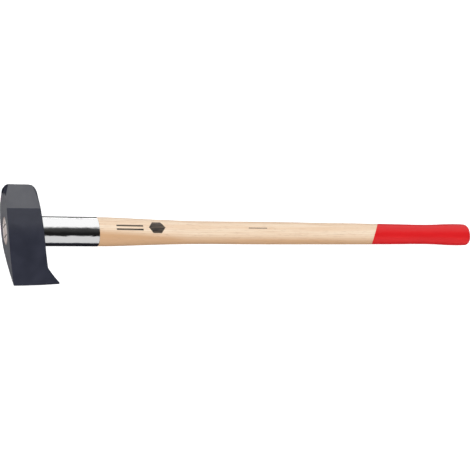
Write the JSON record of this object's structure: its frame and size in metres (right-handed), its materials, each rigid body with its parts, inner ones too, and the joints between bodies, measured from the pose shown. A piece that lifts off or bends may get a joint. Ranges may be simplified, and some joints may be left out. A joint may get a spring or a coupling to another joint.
{
  "type": "splitting maul",
  "caption": "Splitting maul with a heavy wedge head, a turning lug, a protective steel sleeve and a long hardwood handle, for splitting logs by hand.",
  "frame": {"origin": "under the middle of the bounding box, with the maul lying on its side and z = 0 on the far cheek", "axes": "+X runs along the handle from the head to the grip, +Y from the cutting edge to the poll, +Z out through the upper cheek"},
  "size_m": [0.9, 0.1815, 0.045],
  "materials": {
    "forged_steel": "satin slate-grey lacquer over forged carbon steel",
    "chromed_steel": "bright chrome plate",
    "hickory": "clear-oiled hickory, grain along the handle",
    "wedge_wood": "bare end-grain hardwood",
    "wedge_steel": "plain mild steel, hammer-struck",
    "red_lacquer": "glossy dipped lacquer"
  },
  "bodies": {
    "root": {"maul_head": "forged_steel", "protective_sleeve": "chromed_steel", "handle": "hickory", "kerf_wedge": "wedge_wood", "cross_wedges": "wedge_steel", "dip_coat": "red_lacquer"}
  },
  "joints": []
}
